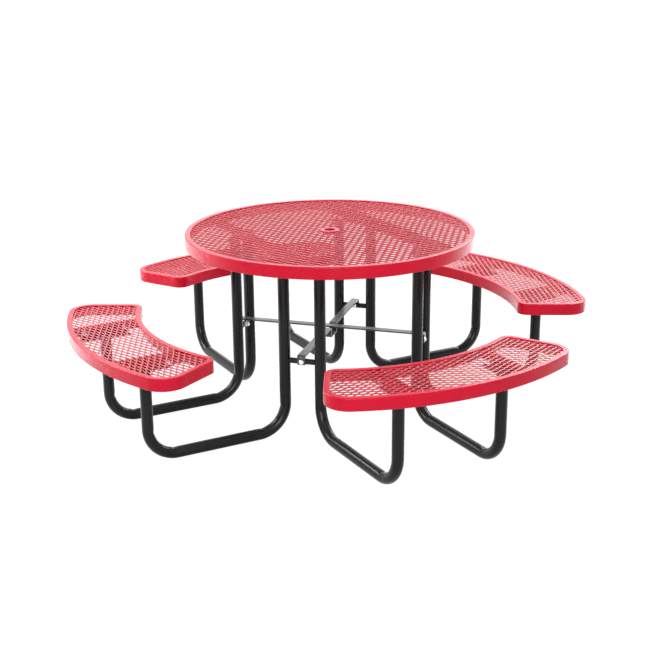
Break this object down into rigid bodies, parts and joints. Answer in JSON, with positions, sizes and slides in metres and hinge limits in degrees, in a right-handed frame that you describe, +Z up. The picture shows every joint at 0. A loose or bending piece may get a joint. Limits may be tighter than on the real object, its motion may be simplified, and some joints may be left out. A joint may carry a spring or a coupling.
{
  "type": "picnic table",
  "caption": "Round coated-mesh picnic table with an umbrella hole and four curved seats on U-shaped bent-tube legs, bolted into one walk-in frame.",
  "frame": {"origin": "on the floor under the centre of the table top", "axes": "+Z up, -Y towards the front seat, +X towards the right seat"},
  "size_m": [2.1334, 2.1334, 0.746],
  "materials": {
    "red_rim_coating": "smooth glossy thermoplastic coating over steel",
    "red_mesh_coating": "rounded glossy thermoplastic coating over expanded steel",
    "black_powder_coat": "semi-gloss black powder coat over steel",
    "zinc_plate": "bright zinc plating"
  },
  "bodies": {
    "root": {"brace_bolts": "zinc_plate", "brace_nuts": "zinc_plate", "brace_washers": "zinc_plate", "dropped_brace": "black_powder_coat", "front_left_crossbar": "black_powder_coat", "front_left_top_plate": "black_powder_coat", "front_leg_a": "black_powder_coat", "front_leg_b": "black_powder_coat", "front_right_crossbar": "black_powder_coat", "front_right_top_plate": "black_powder_coat", "front_seat_bracket_a": "black_powder_coat", "front_seat_bracket_b": "black_powder_coat", "front_seat_mesh": "red_mesh_coating", "front_seat_rim": "red_rim_coating", "front_seat_strap_a": "red_rim_coating", "front_seat_strap_b": "red_rim_coating", "left_leg_a": "black_powder_coat", "left_leg_b": "black_powder_coat", "left_seat_bracket_a": "black_powder_coat", "left_seat_bracket_b": "black_powder_coat", "left_seat_mesh": "red_mesh_coating", "left_seat_rim": "red_rim_coating", "left_seat_strap_a": "red_rim_coating", "left_seat_strap_b": "red_rim_coating", "rear_left_crossbar": "black_powder_coat", "rear_left_top_plate": "black_powder_coat", "rear_leg_a": "black_powder_coat", "rear_leg_b": "black_powder_coat", "rear_right_crossbar": "black_powder_coat", "rear_right_top_plate": "black_powder_coat", "rear_seat_bracket_a": "black_powder_coat", "rear_seat_bracket_b": "black_powder_coat", "rear_seat_mesh": "red_mesh_coating", "rear_seat_rim": "red_rim_coating", "rear_seat_strap_a": "red_rim_coating", "rear_seat_strap_b": "red_rim_coating", "right_leg_a": "black_powder_coat", "right_leg_b": "black_powder_coat", "right_seat_bracket_a": "black_powder_coat", "right_seat_bracket_b": "black_powder_coat", "right_seat_mesh": "red_mesh_coating", "right_seat_rim": "red_rim_coating", "right_seat_strap_a": "red_rim_coating", "right_seat_strap_b": "red_rim_coating", "seat_bolts": "zinc_plate", "seat_nuts": "zinc_plate", "seat_washers": "zinc_plate", "straight_brace": "black_powder_coat", "top_bolts": "zinc_plate", "top_mesh": "red_mesh_coating", "top_nuts": "zinc_plate", "top_rim": "red_rim_coating", "top_strap_left": "red_rim_coating", "top_strap_right": "red_rim_coating", "top_washers": "zinc_plate", "umbrella_ring": "red_rim_coating"}
  },
  "joints": []
}
